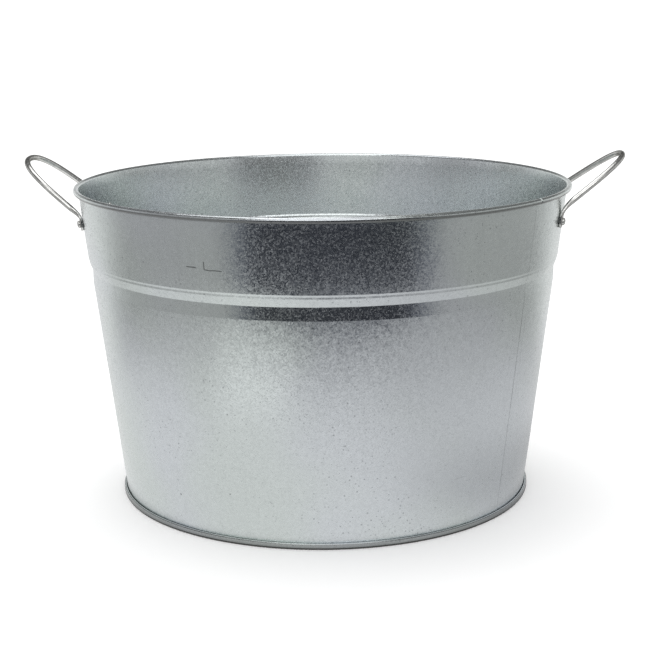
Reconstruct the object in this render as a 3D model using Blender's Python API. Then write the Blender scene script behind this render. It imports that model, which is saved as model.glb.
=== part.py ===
"""Florist bucket: a galvanised steel tub with two riveted wire handles.

Metres, +Z up. The origin is the middle of the ring that the tub stands on, and the
handles lie along +X and -X. The wall is one sheet whose ends are locked together by a
folded seam. It's rolled round a wire at the rim and double seamed to the base pan.

Every turned piece has the same number of flat facets at the same angles, so the
pieces nest with an even gap all round.
"""

from math import asin, atan2, cos, hypot, pi, radians, sin

import bmesh
import bpy
from mathutils import Matrix, Vector

MM = 0.001

# The sheet, and the gap between pieces that touch
SHEET = 0.5 * MM
GAP = 0.3 * MM
LAYER = SHEET + GAP
SEGMENTS = 60
FACET = 2 * pi / SEGMENTS

# The wall: radii of its outer face, and heights
RIM_RADIUS = 200.0 * MM
RIM_TOP = 252.5 * MM
ROLL_RADIUS = 2.15 * MM
ROLL_STEPS = 8
ROLL_END_ANGLE = radians(-130)
BAND_RADIUS = 190.05 * MM
BAND_BOTTOM = 196.6 * MM
LAND_RADIUS = 189.4 * MM
LAND_TOP = 195.1 * MM
LAND_BOTTOM = 193.6 * MM
NECK_RADIUS = 187.0 * MM
NECK_TOP = 187.5 * MM
NECK_BOTTOM = 177.5 * MM
FOOT_RADIUS = 166.4 * MM
FOOT_TOP = 5.4 * MM

# The base pan and its double seam
SEAM_TOP = 4.8 * MM
PANEL_TOP = 4.85 * MM
HOOK_DEPTH = 1.8 * MM
SEALANT_HEIGHT = 1.0 * MM

# The side seam: a folded lock seam on the inside, flush on the outside
SIDE_SEAM_ANGLE = radians(-30)
LOCK_HALF_WIDTH = 3.2 * MM
LOCK_HOOK_END = 1.7 * MM
LOCK_SHIFT = -4.3 * MM
FOLD_CHAMFER = 0.35 * MM
LOCK_BOTTOM = 9.0 * MM
LOCK_TOP = 243.0 * MM

# The wire handles
WIRE_RADIUS = 2.3 * MM
TAB_HALF_WIDTH = 3.5 * MM
TAB_HALF_THICKNESS = 1.15 * MM
TAB_LENGTH = 8.5 * MM
TAB_ROUND_END = (0.08, 0.5, 1.0)
FOOT_ANGLE = 2.5 * FACET
LOOP_HALF_WIDTH = 46.5 * MM
SECTION_SIDES = 10
BEND_STEPS = 7
BEND_END = 0.08
LOOP_STEPS = 9

# Bent and riveted by hand, the two handles differ a little. The bend is where the slanted
# loop meets the tabs. The shoulder and the tip are the middle points of the curve that
# runs out from the bend and round the loop's end: how far out, and how far to each side.
HANDLES = {
    "right": {
        "facing": 0.0,
        "tab_end": 222.0 * MM,
        "rivet": 227.2 * MM,
        "bend_height": 240.5 * MM,
        "bend_radius": 194.6 * MM,
        "slant": radians(36.5),
        "length": 55.7 * MM,
        "shoulder": (29.0 * MM, 37.0 * MM),
        "tip_half_width": 30.0 * MM,
    },
    "left": {
        "facing": pi,
        "tab_end": 219.5 * MM,
        "rivet": 225.0 * MM,
        "bend_height": 233.5 * MM,
        "bend_radius": 193.2 * MM,
        "slant": radians(39.2),
        "length": 59.5 * MM,
        "shoulder": (30.0 * MM, 41.5 * MM),
        "tip_half_width": 38.5 * MM,
    },
}

# The rivets
RIVET_HEAD_RADIUS = 2.9 * MM
RIVET_HEAD_HEIGHT = 2.2 * MM
RIVET_SHANK_RADIUS = 1.4 * MM
RIVET_TAIL_RADIUS = 2.4 * MM
RIVET_TAIL_HEIGHT = 1.2 * MM
RIVET_SIDES = 12

# Colour, roughness and metallic value of each material
MATERIALS = {
    "galvanised_sheet": ((0.60, 0.63, 0.64, 1.0), 0.32, 1.0),
    "plated_wire": ((0.72, 0.72, 0.70, 1.0), 0.22, 1.0),
    "rivet_steel": ((0.62, 0.62, 0.60, 1.0), 0.30, 1.0),
    "rim_wire_steel": ((0.35, 0.35, 0.36, 1.0), 0.45, 1.0),
    "sealing_compound": ((0.18, 0.19, 0.18, 1.0), 0.70, 0.0),
}


# Outlines

def roll_centre():
    """Radius and height of the middle of the rolled rim."""
    return RIM_RADIUS - ROLL_RADIUS, RIM_TOP - ROLL_RADIUS


def band_direction():
    """Angle of the upper band, from its foot to where it meets the roll, in the (radius, height) plane."""
    centre_radius, centre_height = roll_centre()
    across = centre_radius - (BAND_RADIUS - SHEET / 2)
    up = centre_height - BAND_BOTTOM
    return atan2(up, across) + asin((ROLL_RADIUS - SHEET / 2) / hypot(across, up))


def band_slope():
    """Outward run of the upper band for each unit of its height."""
    return cos(band_direction()) / sin(band_direction())


def band_radius(height):
    """Radius of the upper band's outer face at a height."""
    return BAND_RADIUS + (height - BAND_BOTTOM) * band_slope()


def body_radius(height):
    """Radius of the tapered body's outer face at a height."""
    rise = (height - FOOT_TOP) / (NECK_BOTTOM - FOOT_TOP)
    return FOOT_RADIUS + (NECK_RADIUS - FOOT_RADIUS) * rise


def roll_points():
    """The middle of the sheet round the rolled rim, from the wall over the top and back under."""
    centre_radius, centre_height = roll_centre()
    radius = ROLL_RADIUS - SHEET / 2
    start = band_direction() + pi / 2
    turn = ROLL_END_ANGLE - start
    angles = [start + turn * step / ROLL_STEPS for step in range(ROLL_STEPS + 1)]
    return [(centre_radius + radius * cos(a), centre_height + radius * sin(a)) for a in angles]


def wall_outline():
    """The middle of the wall sheet, from the tip of its bottom hook up to the end of the rim roll."""
    half = SHEET / 2
    hook_radius = FOOT_RADIUS + 2 * LAYER - half
    hook_top = SEAM_TOP - LAYER
    hook_bottom = LAYER + half
    outer_face = [
        (FOOT_RADIUS, hook_bottom),
        (FOOT_RADIUS, FOOT_TOP),
        (body_radius(LOCK_BOTTOM), LOCK_BOTTOM),
        (NECK_RADIUS, NECK_BOTTOM),
        (NECK_RADIUS, NECK_TOP),
        (LAND_RADIUS, LAND_BOTTOM),
        (LAND_RADIUS, LAND_TOP),
        (BAND_RADIUS, BAND_BOTTOM),
        (band_radius(LOCK_TOP), LOCK_TOP),
    ]
    hook = [(hook_radius, hook_top), (hook_radius, hook_bottom)]
    return hook + [(radius - half, height) for radius, height in outer_face] + roll_points()


def pan_outline():
    """The middle of the pan's sheet, from its centre out to the end of the hook in the double seam."""
    half = SHEET / 2
    inner = FOOT_RADIUS - SHEET - GAP - half
    outer = FOOT_RADIUS + 3 * LAYER - half
    hook = FOOT_RADIUS + LAYER - half
    top = SEAM_TOP - half
    return [
        (0.0, PANEL_TOP - half),
        (inner, PANEL_TOP - half),
        (inner, half),
        (outer, half),
        (outer, top),
        (hook, top),
        (hook, SEAM_TOP - HOOK_DEPTH),
    ]


def ring_outline(radius, height, wire_radius, sides):
    """A closed round outline for a wire ring."""
    angles = [2 * pi * side / sides for side in range(sides)]
    return [(radius + wire_radius * cos(a), height + wire_radius * sin(a)) for a in angles]


def fold(edge, chamfer, upper, lower):
    """The four points of a flattened fold in the (along, depth) plane, from upper to lower."""
    return [
        (edge - chamfer, upper),
        (edge, upper - abs(chamfer)),
        (edge, lower + abs(chamfer)),
        (edge - chamfer, lower),
    ]


def outer_hook():
    """The sheet's start, which lies outside: a hook folded back under the wall, then the flush wall."""
    depth = -2 * LAYER
    hook = fold(-LOCK_HALF_WIDTH, -FOLD_CHAMFER, 0.0, depth) + [(LOCK_HOOK_END, depth)]
    return list(reversed(hook))


def inner_hook():
    """The sheet's end, which lies inside: a step down from the wall, then a hook that opens outward."""
    depth = -3 * LAYER
    step = -LOCK_HALF_WIDTH - LAYER
    down = [
        (step - FOLD_CHAMFER, 0.0),
        (step, -FOLD_CHAMFER),
        (step, depth + FOLD_CHAMFER),
        (step + FOLD_CHAMFER, depth),
    ]
    hook = fold(LOCK_HALF_WIDTH, FOLD_CHAMFER, -LAYER, depth)
    return down + list(reversed(hook)) + [(-LOCK_HOOK_END, -LAYER)]


# Geometry helpers

def facet_scale(angle):
    """How far inside the circle a facet lies at an angle, as a share of the radius."""
    from_middle = angle % FACET - FACET / 2
    return cos(FACET / 2) / cos(from_middle)


def outward(outline):
    """Outward direction at each point of an outline that runs up the wall, longer at its corners."""
    steps = [Vector(b) - Vector(a) for a, b in zip(outline, outline[1:])]
    normals = [Vector((step.y, -step.x)).normalized() for step in steps]
    before = [normals[0]] + normals
    after = normals + [normals[-1]]
    middles = [(a + b).normalized() for a, b in zip(before, after)]
    return [middle / middle.dot(a) for middle, a in zip(middles, before)]


def wall_point(outline_point, normal, anchor, along, depth):
    """A point of the wall: anchor is an angle, along a distance round from it, depth an offset outward."""
    radius = outline_point[0] + normal.x * depth
    height = outline_point[1] + normal.y * depth
    angle = anchor + along / outline_point[0]
    radius *= facet_scale(angle)
    return Vector((radius * cos(angle), radius * sin(angle), height))


def sheet_columns():
    """Columns (anchor angle, along, depth) of the body sheet, and the range of them that is plain wall."""
    start = SIDE_SEAM_ANGLE
    end = start + 2 * pi
    first = [(start, along + LOCK_SHIFT, depth) for along, depth in outer_hook()]
    middle = [(start + FACET * step, 0.0, 0.0) for step in range(SEGMENTS)]
    last = [(end, along + LOCK_SHIFT, depth) for along, depth in inner_hook()]
    plain = range(len(first) - 1, len(first) + len(middle))
    return first + middle + last, plain


def body_sheet_mesh(name):
    """The middle surface of the body sheet, notched above and below its two folded ends."""
    outline = wall_outline()
    normals = outward(outline)
    columns, plain = sheet_columns()
    bm = bmesh.new()
    grid = {}

    def vertex(row, column):
        if (row, column) not in grid:
            place = wall_point(outline[row], normals[row], *columns[column])
            grid[row, column] = bm.verts.new(place)
        return grid[row, column]

    for row in range(len(outline) - 1):
        low, high = sorted((outline[row][1], outline[row + 1][1]))
        locked = low > LOCK_BOTTOM - GAP and high < LOCK_TOP + GAP
        for column in range(len(columns) - 1):
            if locked or column in plain:
                corners = [(row, column), (row, column + 1), (row + 1, column + 1), (row + 1, column)]
                bm.faces.new([vertex(*corner) for corner in corners])
    return finished_mesh(name, bm)


def turned_mesh(name, outline, closed, segments):
    """An outline in the (radius, height) plane spun round the Z axis."""
    bm = bmesh.new()
    points = [bm.verts.new((radius, 0.0, height)) for radius, height in outline]
    ends = points[1:] + points[:1] if closed else points[1:]
    edges = [bm.edges.new(pair) for pair in zip(points, ends)]
    bmesh.ops.spin(
        bm,
        geom=points + edges,
        axis=(0.0, 0.0, 1.0),
        cent=(0.0, 0.0, 0.0),
        steps=segments,
        angle=2 * pi,
        use_merge=True,
    )
    bmesh.ops.remove_doubles(bm, verts=bm.verts, dist=0.001 * MM)
    bmesh.ops.recalc_face_normals(bm, faces=bm.faces)
    return finished_mesh(name, bm)


def finished_mesh(name, bm):
    """A smooth shaded mesh from a bmesh."""
    mesh = bpy.data.meshes.new(name)
    bm.to_mesh(mesh)
    bm.free()
    mesh.shade_smooth()
    mesh.set_sharp_from_angle(angle=radians(25))
    return mesh


# Handles

def tab_point(height):
    """Middle of a handle's tab where it lies on the wall facet, on the +Y side of +X."""
    radius = band_radius(height) * cos(FACET / 2) + GAP + TAB_HALF_THICKNESS
    return Vector((radius * cos(FOOT_ANGLE), radius * sin(FOOT_ANGLE), height))


def wall_up():
    """Direction up the wall facet under the tab."""
    slope = band_slope()
    return Vector((slope * cos(FOOT_ANGLE), slope * sin(FOOT_ANGLE), 1.0)).normalized()


def wall_out():
    """Direction out of the wall facet under the tab."""
    slope = band_slope()
    return Vector((cos(FOOT_ANGLE), sin(FOOT_ANGLE), -slope)).normalized()


def bezier(a, b, c, d, t):
    """Point on a cubic curve."""
    s = 1 - t
    return a * s**3 + b * (3 * s * s * t) + c * (3 * s * t * t) + d * t**3


def loop_point(handle, t):
    """A point of the loop's middle line, on the +Y side: t is 0 at the bend and 1 at the tip."""
    shoulder = Vector(handle["shoulder"])
    tip_corner = Vector((handle["length"], handle["tip_half_width"]))
    bend = Vector((0.0, LOOP_HALF_WIDTH))
    run, across = bezier(bend, shoulder, tip_corner, Vector((handle["length"], 0.0)), t)
    slant = handle["slant"]
    return Vector((
        handle["bend_radius"] + run * cos(slant),
        across,
        handle["bend_height"] + run * sin(slant),
    ))


def loop_out(handle):
    """Direction square to the loop's plane, on its underside."""
    return Vector((sin(handle["slant"]), 0.0, -cos(handle["slant"])))


def tab_stations(handle):
    """Stations of the flat tab: middle, out direction, half width, half thickness, flatness."""
    start = tab_point(handle["tab_end"])
    stations = []
    for from_end in TAB_ROUND_END:
        run = from_end * TAB_HALF_WIDTH
        width = (TAB_HALF_WIDTH**2 - (TAB_HALF_WIDTH - run) ** 2) ** 0.5
        stations.append((start + wall_up() * run, wall_out(), width, TAB_HALF_THICKNESS, 1.0))
    top = start + wall_up() * TAB_LENGTH
    stations.append((top, wall_out(), TAB_HALF_WIDTH, TAB_HALF_THICKNESS, 1.0))
    return stations


def bend_stations(handle):
    """Stations of the bend from the tab to the loop, where the section turns from flat to round."""
    start = tab_point(handle["tab_end"]) + wall_up() * TAB_LENGTH
    corner = loop_point(handle, 0.0)
    end = loop_point(handle, BEND_END)
    rise = wall_up() * (corner - start).length / 2
    stations = []
    for step in range(1, BEND_STEPS + 1):
        t = step / BEND_STEPS
        place = bezier(start, start + rise, corner, end, t)
        out = wall_out().lerp(loop_out(handle), t).normalized()
        width = TAB_HALF_WIDTH + (WIRE_RADIUS - TAB_HALF_WIDTH) * t
        thickness = TAB_HALF_THICKNESS + (WIRE_RADIUS - TAB_HALF_THICKNESS) * t
        stations.append((place, out, width, thickness, 1 - t))
    return stations


def loop_stations(handle):
    """Stations of the round wire, from the bend to the middle of the tip."""
    stations = []
    for step in range(1, LOOP_STEPS + 1):
        t = BEND_END + (1 - BEND_END) * step / LOOP_STEPS
        stations.append((loop_point(handle, t), loop_out(handle), WIRE_RADIUS, WIRE_RADIUS, 0.0))
    return stations


def mirrored(station):
    """The same station on the other side of the XZ plane."""
    place, out, width, thickness, flatness = station
    flip = Vector((1.0, -1.0, 1.0))
    return place * flip, out * flip, width, thickness, flatness


def section_points(station, along):
    """Points round the wire at a station: an ellipse, or a flat shape with round corners."""
    place, out, width, thickness, flatness = station
    side = along.cross(out).normalized()
    out = side.cross(along).normalized()
    power = 1.0 - 0.5 * flatness
    points = []
    for index in range(SECTION_SIDES):
        angle = 2 * pi * (index + 0.5) / SECTION_SIDES
        across = width * abs(cos(angle)) ** power * (1 if cos(angle) > 0 else -1)
        through = thickness * abs(sin(angle)) ** power * (1 if sin(angle) > 0 else -1)
        points.append(place + side * across + out * through)
    return points


def handle_mesh(name, handle):
    """A wire bent to a loop, with both ends flattened to tabs."""
    half = tab_stations(handle) + bend_stations(handle) + loop_stations(handle)
    stations = half + [mirrored(station) for station in reversed(half[:-1])]
    places = [station[0] for station in stations]
    bm = bmesh.new()
    rings = []
    for index, station in enumerate(stations):
        before = places[max(index - 1, 0)]
        after = places[min(index + 1, len(places) - 1)]
        ring = section_points(station, (after - before).normalized())
        rings.append([bm.verts.new(point) for point in ring])
    for ring, following in zip(rings, rings[1:]):
        for index in range(SECTION_SIDES):
            beside = (index + 1) % SECTION_SIDES
            bm.faces.new([ring[index], ring[beside], following[beside], following[index]])
    bm.faces.new(list(reversed(rings[0])))
    bm.faces.new(rings[-1])
    bmesh.ops.recalc_face_normals(bm, faces=bm.faces)
    return finished_mesh(name, bm)


# Rivets

def rivet_outline():
    """Half section of a rivet along its axis, from its set tail inside the wall to its domed head."""
    tab_face = 2 * GAP + 2 * TAB_HALF_THICKNESS
    tail_face = -SHEET - GAP
    dome = []
    for step in range(4):
        angle = step * pi / 6
        dome.append((
            RIVET_HEAD_RADIUS * cos(angle),
            tab_face + RIVET_HEAD_HEIGHT * (0.2 + 0.8 * sin(angle)),
        ))
    dome[-1] = (0.0, tab_face + RIVET_HEAD_HEIGHT)
    return [
        (0.0, tail_face - RIVET_TAIL_HEIGHT),
        (RIVET_TAIL_RADIUS, tail_face - RIVET_TAIL_HEIGHT),
        (RIVET_TAIL_RADIUS, tail_face),
        (RIVET_SHANK_RADIUS, tail_face),
        (RIVET_SHANK_RADIUS, tab_face),
        (RIVET_HEAD_RADIUS, tab_face),
    ] + dome


def hole_outline():
    """Half section of the straight cutter that clears a rivet's shank."""
    radius = RIVET_SHANK_RADIUS + GAP
    reach = 3 * TAB_HALF_THICKNESS + 3 * GAP
    return [(0.0, -reach), (radius, -reach), (radius, reach), (0.0, reach)]


def rivet_places():
    """Each rivet's side and name, and its angle and height on the wall's outer face."""
    for side, handle in HANDLES.items():
        for turn in (-FOOT_ANGLE, FOOT_ANGLE):
            angle = handle["facing"] + turn
            end = "back" if sin(angle) > 0 else "front"
            yield side, f"{side}_{end}", angle, handle["rivet"]


def rivet_matrix(angle, height):
    """Transform that sets a piece's own +Z along the wall's outward direction."""
    radius = band_radius(height) * cos(FACET / 2)
    place = Vector((radius * cos(angle), radius * sin(angle), height))
    out = Vector((cos(angle), sin(angle), -band_slope()))
    return Matrix.Translation(place) @ out.to_track_quat("Z", "Y").to_matrix().to_4x4()


# Scene

def clear_scene():
    """Start from nothing."""
    for item in list(bpy.data.objects):
        bpy.data.objects.remove(item)


def make_material(name):
    """A plain metal or compound from the table of materials."""
    colour, roughness, metallic = MATERIALS[name]
    material = bpy.data.materials.new(name)
    material.use_nodes = True
    shader = material.node_tree.nodes["Principled BSDF"]
    shader.inputs["Base Color"].default_value = colour
    shader.inputs["Roughness"].default_value = roughness
    shader.inputs["Metallic"].default_value = metallic
    return material


def add_piece(name, mesh, material, parent, matrix=None):
    """Put a mesh in the scene as one named piece."""
    piece = bpy.data.objects.new(name, mesh)
    bpy.context.scene.collection.objects.link(piece)
    if material and not mesh.materials:
        mesh.materials.append(material)
    piece.parent = parent
    if matrix:
        piece.matrix_local = matrix
    return piece


def add_thickness(piece):
    """Give a middle surface the sheet's thickness, half to each side."""
    solidify = piece.modifiers.new("thickness", "SOLIDIFY")
    solidify.thickness = SHEET
    solidify.offset = 0.0
    solidify.use_even_offset = True
    solidify.use_quality_normals = True


def cut(piece, cutter):
    """Cut a hole through a piece."""
    boolean = piece.modifiers.new("rivet_hole", "BOOLEAN")
    boolean.operation = "DIFFERENCE"
    boolean.object = cutter
    boolean.solver = "EXACT"


def add_tub(parent, materials):
    """The body sheet, the base pan, the rim wire and the sealing bead."""
    sheet = materials["galvanised_sheet"]
    body = add_piece("body_sheet", body_sheet_mesh("body_sheet"), sheet, parent)
    pan = add_piece("base_pan", turned_mesh("base_pan", pan_outline(), False, SEGMENTS), sheet, parent)
    for piece in (body, pan):
        add_thickness(piece)
    add_rim_wire(parent, materials["rim_wire_steel"])
    add_sealant(parent, materials["sealing_compound"])
    return body


def add_rim_wire(parent, material):
    """The wire inside the rolled rim."""
    inside = (ROLL_RADIUS - SHEET) * cos(pi / ROLL_STEPS)
    outline = ring_outline(*roll_centre(), inside - GAP, 8)
    add_piece("rim_wire", turned_mesh("rim_wire", outline, True, SEGMENTS), material, parent)


def add_sealant(parent, material):
    """The bead of sealing compound in the bottom of the wall's hook."""
    inner = FOOT_RADIUS + GAP
    outer = inner + SHEET
    bottom = LAYER + SHEET + GAP
    top = bottom + SEALANT_HEIGHT
    outline = [(inner, bottom), (outer, bottom), (outer, top), (inner, top)]
    add_piece("seam_sealant", turned_mesh("seam_sealant", outline, True, SEGMENTS), material, parent)


def add_handles(parent, material):
    """The two wire handles."""
    handles = {}
    for side, handle in HANDLES.items():
        name = f"handle_{side}"
        turn = Matrix.Rotation(handle["facing"], 4, "Z")
        handles[side] = add_piece(name, handle_mesh(name, handle), material, parent, turn)
    return handles


def add_rivets(parent, material, body, handles):
    """The four rivets, and the holes that they go through."""
    rivet = turned_mesh("rivet", rivet_outline(), False, RIVET_SIDES)
    hole = turned_mesh("rivet_hole", hole_outline(), False, RIVET_SIDES)
    for side, name, angle, height in rivet_places():
        matrix = rivet_matrix(angle, height)
        add_piece(f"rivet_{name}", rivet, material, parent, matrix)
        cutter = add_piece(f"cutter_{name}", hole, None, parent, matrix)
        cutter.hide_render = True
        cutter.display_type = "WIRE"
        cut(body, cutter)
        cut(handles[side], cutter)


def main():
    """Build the bucket."""
    clear_scene()
    materials = {name: make_material(name) for name in MATERIALS}
    parent = bpy.data.objects.new("florist_bucket", None)
    bpy.context.scene.collection.objects.link(parent)
    body = add_tub(parent, materials)
    handles = add_handles(parent, materials["plated_wire"])
    add_rivets(parent, materials["rivet_steel"], body, handles)


main()
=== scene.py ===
"""Looks of the florist bucket: fine sheet metal, bent wire and galvanised surfaces.

Everything is in metres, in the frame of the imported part. The body sheet, the base pan,
the handles and the rivets are replaced by smooth versions of the same shapes. The rim
wire and the sealing bead, which are hidden, keep their own meshes.
"""

from math import asin, atan2, cos, hypot, pi, radians, sin, tan

import bmesh
import bpy
from mathutils import Matrix, Vector, noise


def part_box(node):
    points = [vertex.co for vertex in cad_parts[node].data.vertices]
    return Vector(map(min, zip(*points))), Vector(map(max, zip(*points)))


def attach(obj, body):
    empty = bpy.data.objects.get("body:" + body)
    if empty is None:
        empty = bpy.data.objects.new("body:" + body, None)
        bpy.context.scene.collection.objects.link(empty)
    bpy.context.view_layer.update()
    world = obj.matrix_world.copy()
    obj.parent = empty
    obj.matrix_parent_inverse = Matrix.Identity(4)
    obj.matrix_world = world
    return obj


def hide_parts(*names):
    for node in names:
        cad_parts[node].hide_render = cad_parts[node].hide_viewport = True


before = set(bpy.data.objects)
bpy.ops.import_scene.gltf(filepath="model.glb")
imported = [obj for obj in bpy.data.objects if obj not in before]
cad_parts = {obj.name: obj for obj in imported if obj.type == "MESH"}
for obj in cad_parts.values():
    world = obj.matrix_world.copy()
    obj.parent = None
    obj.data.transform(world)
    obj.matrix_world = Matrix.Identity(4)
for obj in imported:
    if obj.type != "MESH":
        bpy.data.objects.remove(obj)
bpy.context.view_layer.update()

MM = 0.001

# Sizes read from the frame
SHEET_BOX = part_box("body_sheet")
RIM_TOP = SHEET_BOX[1].z
RIM_RADIUS = -SHEET_BOX[0].y
SEAM_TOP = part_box("base_pan")[1].z

# Sizes of the wall's outer face, as in the part
SHEET = 0.5 * MM
GAP = 0.3 * MM
LAYER = SHEET + GAP
ROLL_RADIUS = 2.15 * MM
ROLL_END_ANGLE = radians(-130)
BAND_RADIUS = 190.05 * MM
BAND_BOTTOM = 196.6 * MM
LAND_RADIUS = 189.4 * MM
LAND_TOP = 195.1 * MM
LAND_BOTTOM = 193.6 * MM
LAND_LEAN = 0.13 * MM  # how far the land leans out over half its height
NECK_RADIUS = 187.0 * MM
NECK_TOP = 187.5 * MM
NECK_BOTTOM = 177.5 * MM
FOOT_RADIUS = 166.4 * MM
FOOT_TOP = 5.4 * MM
PANEL_TOP = 4.85 * MM
HOOK_DEPTH = 1.8 * MM

# Rounding of the wall's outline: at its folded hem, its foot and its steps
HEM_FILLET = 0.6 * MM
FOOT_FILLET = 2.0 * MM
NECK_FILLET = 6.0 * MM
BEVEL_FILLET = 1.6 * MM
STEP_FILLET = 0.9 * MM

# Rounding of the base pan: round its panel, its folds and the ring that it stands on
PANEL_FILLET = 1.0 * MM
FOLD_FILLET = 0.7 * MM
RING_FILLET = 0.9 * MM

# Radial waves of the rolled sheet, as (noise scale, size), and (height, reach) where they die out
WAVE_STRETCH = 5.0
WAVES = ((2.3, 0.16 * MM), (6.1, 0.05 * MM))
STILL_HEIGHTS = ((0.0, 25 * MM), (LAND_TOP, 14 * MM), (RIM_TOP, 12 * MM))

# The side seam
SIDE_SEAM_ANGLE = radians(-30)
LOCK_HALF_WIDTH = 3.2 * MM
LOCK_HOOK_END = 1.7 * MM
LOCK_SHIFT = -4.3 * MM
LOCK_BOTTOM = 9.0 * MM
LOCK_TOP = 243.0 * MM
HAIRLINE = 0.15 * MM

# Fineness of the meshes
COLUMN_STEP = radians(1.5)
ROLL_STEPS = 20
ROW_HEIGHT = 12 * MM
PAN_SEGMENTS = 240
RIVET_SEGMENTS = 40
DOME_STEPS = 8
WIRE_SIDES = 20
TAB_END_STEPS = 8
BEND_STEPS = 20
LOOP_STEPS = 32
SHARP_ANGLE = radians(40)
WIRE_SHARP_ANGLE = radians(50)
MITRE_LIMIT = 0.7
MERGE_DISTANCE = 0.0005 * MM

# The handles, as in the part
WIRE_RADIUS = 2.3 * MM
TAB_HALF_WIDTH = 3.5 * MM
TAB_HALF_THICKNESS = 1.15 * MM
TAB_LENGTH = 8.5 * MM
TAB_TIP_STEP = 0.25  # the tab's end face, in steps of its round end
TAB_EDGE_STEPS = 3  # over which the tab's end grows to its full thickness
TAB_EDGE_SHARE = 0.55  # of the thickness, at the end face
TAB_FLAT_SHARES = (0.6, 0.8, 1.0)
TAB_SQUARENESS = 0.5
FACET = radians(6)
FOOT_ANGLE = 2.5 * FACET
LOOP_HALF_WIDTH = 46.5 * MM
BEND_END = 0.08
HANDLES = {
    "right": {
        "facing": 0.0,
        "tab_end": 222.0 * MM,
        "rivet": 227.2 * MM,
        "bend_height": 240.5 * MM,
        "bend_radius": 194.6 * MM,
        "slant": radians(36.5),
        "length": 55.7 * MM,
        "shoulder": (29.0 * MM, 37.0 * MM),
        "tip_half_width": 30.0 * MM,
    },
    "left": {
        "facing": pi,
        "tab_end": 219.5 * MM,
        "rivet": 225.0 * MM,
        "bend_height": 233.5 * MM,
        "bend_radius": 193.2 * MM,
        "slant": radians(39.2),
        "length": 59.5 * MM,
        "shoulder": (30.0 * MM, 41.5 * MM),
        "tip_half_width": 38.5 * MM,
    },
}

# The rivets
RIVET_HEAD_RADIUS = 2.9 * MM
RIVET_HEAD_HEIGHT = 2.2 * MM
RIVET_SHANK_RADIUS = 1.4 * MM
RIVET_TAIL_RADIUS = 2.4 * MM
RIVET_TAIL_HEIGHT = 1.2 * MM
RIVET_SIDE_SHARE = 0.45  # of the head's height, upright before the dome
RIVET_HEAD_GAP = 0.05 * MM
RIVET_EDGE = 0.25 * MM

# Marks of use on the sheet. An upright mark's width is an angle round the tub, in radians.
# A noise is (scale, detail), and a reach is what its values are mapped from and, if given, to.
LINE_CORE = 0.3  # of a line's width, at full strength
SPECK_CORE = 0.6  # of a speck's size, at full strength
RING_LINE_HEIGHT = 45 * MM
RING_LINE_ANGLES = (radians(-74), radians(-36))
RING_LINE_FADE = radians(6)
RING_LINE_WIDTH = 0.55 * MM
RING_LINE_WOBBLE = 1.2 * MM
RING_LINE_STRENGTH = 0.30
RING_WOBBLE_NOISE = (9.0, 1.0)
RING_BREAK_NOISE = (22.0, 3.0)
RING_BREAK_REACH = (0.50, 0.66)
SPECK_TRAILS = (
    (radians(-126.5), 22 * MM, 82 * MM),
    (radians(-111), 12 * MM, 88 * MM),
)
SPECK_TRAIL_WIDTH = 0.010
SPECK_TRAIL_FADE = 12 * MM
SPECKS = (260.0, 0.30, 0.30)  # scale, share of the cells, and size in cells
SPECK_STRENGTH = 0.65
SCRATCHES = (
    (radians(-116.9), radians(-113.9), 213.6 * MM),
    (radians(-112.4), radians(-107.8), 212.2 * MM),
)
SCRATCH_FADE = radians(0.5)
SCRATCH_WIDTH = 0.62 * MM
SCRATCH_WOBBLE = 1.6 * MM
SCRATCH_NOISE = (150.0, 2.0)
SCRATCH_STRENGTH = 0.72
TICK_ANGLE = radians(-112.2)
TICK_HEIGHTS = (211.5 * MM, 219.0 * MM)
TICK_FADE = 1.5 * MM
TICK_WIDTH = 0.0035

# The side seam's hairline and its fainter twin: angle, width, lowest, highest, fade and strength
SEAM_LINES = (
    (radians(-32.4), 0.0045, 12 * MM, 175 * MM, 20 * MM, 0.30),
    (radians(-30.6), 0.004, 95 * MM, 172 * MM, 15 * MM, 0.22),
)
SEAM_LINE_NOISE = (70.0, 3.0)
SEAM_LINE_REACH = (0.40, 0.60, 0.35, 1.0)

# The cone inside the wall, outside which a mark shows
MARKED_FOOT_RADIUS = 165.5 * MM
MARKED_SLOPE = 0.118

# Painted shade under the rolled rim, and a darkening of the base seam that grows towards the floor: how
# far the surface faces up where the rim's shade fades, their heights, and how dark the seam gets
UNDERSIDE = (-0.38, 0.22)
ROLL_PAINTED_SHADE_HEIGHTS = (RIM_TOP - 2.6 * ROLL_RADIUS, RIM_TOP - 1.9 * ROLL_RADIUS)
SEAM_DARKENING_HEIGHTS = (0.85 * SEAM_TOP, 1.02 * SEAM_TOP)
RING_DARKENING_HEIGHTS = (0.25 * SEAM_TOP, 0.50 * SEAM_TOP)
SEAM_DARKENING = 0.62
RING_DARKENING = 1.15

# The zinc: its patterns, and their shares in its gloss, tone and roughness
CRYSTAL_SCALE = 1050.0
PATCH_SCALE = 430.0
CLOUD_NOISE = (11.0, 3.0)
STREAK_NOISE = (210.0, 3.0)
STREAK_STRETCH = (1.0, 1.0, 0.05)
HUE_NOISE = (6.5, 2.0)
HUE_REACH = (0.38, 0.62)
CRYSTAL_TILT = 0.046
PATCH_TILT = 0.02
TONE_SWING = 0.07
CRYSTAL_SHADE = 0.55
PATCH_SHADE = 0.30
CLOUD_SHADE = 0.6
STREAK_SHADE = 0.45
ZINC_ROUGHNESS = 0.17
CRYSTAL_ROUGHNESS = 0.20
STREAK_ROUGHNESS = 0.05
CLOUD_ROUGHNESS = 0.06
PITS = ((330.0, 0.22, 0.27), (560.0, 0.10, 0.34))  # scale, share of the cells, and size in cells
PIT_CLUSTER_NOISE = (17.0, 3.0)
PIT_CLUSTER_REACH = (0.42, 0.62, 0.15, 1.0)
PIT_STRENGTH = 0.50
# Strength of the painted shade under the rim and of the base seam's darkening
PAINTED_SHADE_AND_DARKENING_STRENGTH = 0.80
PIT_COLOUR = (0.16, 0.17, 0.18, 1.0)
MARK_COLOUR = (0.06, 0.06, 0.06, 1.0)
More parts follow.
